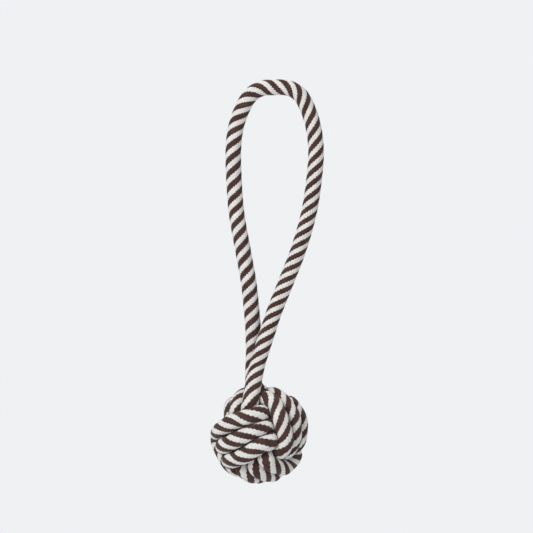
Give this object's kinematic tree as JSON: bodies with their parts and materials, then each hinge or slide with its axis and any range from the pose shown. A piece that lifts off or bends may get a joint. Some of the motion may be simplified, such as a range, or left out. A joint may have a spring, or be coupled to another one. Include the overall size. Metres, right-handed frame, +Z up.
{
  "type": "rope dog toy",
  "caption": "Braided cotton rope dog toy: a long loop handle whose crossed legs run down into a monkey's fist knot ball of interlocked rope bands.",
  "frame": {"origin": "middle of the underside of the loop's top, where the hand that holds the toy bears on the rope", "axes": "+Z up along the hanging toy from the ball to the loop's top, +X to the viewer's right across the loop, -Y towards the viewer"},
  "size_m": [0.0873, 0.0763, 0.303],
  "materials": {
    "rope": "soft matt braided cotton in brown and off-white stripes, slightly fuzzy",
    "thread": "matt wound cotton thread",
    "core": "plain turned wood, unseen inside the knot"
  },
  "bodies": {
    "handle": {"handle_loop": "rope"},
    "upper_neck": {"back_leg_upper": "rope", "front_leg_upper": "rope"},
    "lower_neck": {"back_leg_lower": "rope", "front_leg_lower": "rope"},
    "ball": {"upright_winding": "rope", "cross_winding": "rope", "girdle_winding": "rope", "tucked_end": "rope", "tucked_end_whipping": "thread", "girdle_end_whipping": "thread", "core_ball": "core"}
  },
  "joints": [
    {"name": "ball_twist", "type": "hinge", "parent": "handle", "child": "upper_neck", "pos_m": [-0.0115, 0, -0.122], "axis": [0, 0, 1], "range_deg": [-90, 90], "deforming": ["back_leg_upper", "front_leg_upper"]},
    {"name": "side_swing", "type": "hinge", "parent": "upper_neck", "child": "lower_neck", "pos_m": [-0.0115, 0, -0.178], "axis": [0, 1, 0], "range_deg": [-60, 60]},
    {"name": "front_swing", "type": "hinge", "parent": "lower_neck", "child": "ball", "pos_m": [-0.0115, 0, -0.203], "axis": [1, 0, 0], "range_deg": [-60, 60], "deforming": ["back_leg_lower", "front_leg_lower"]}
  ]
}
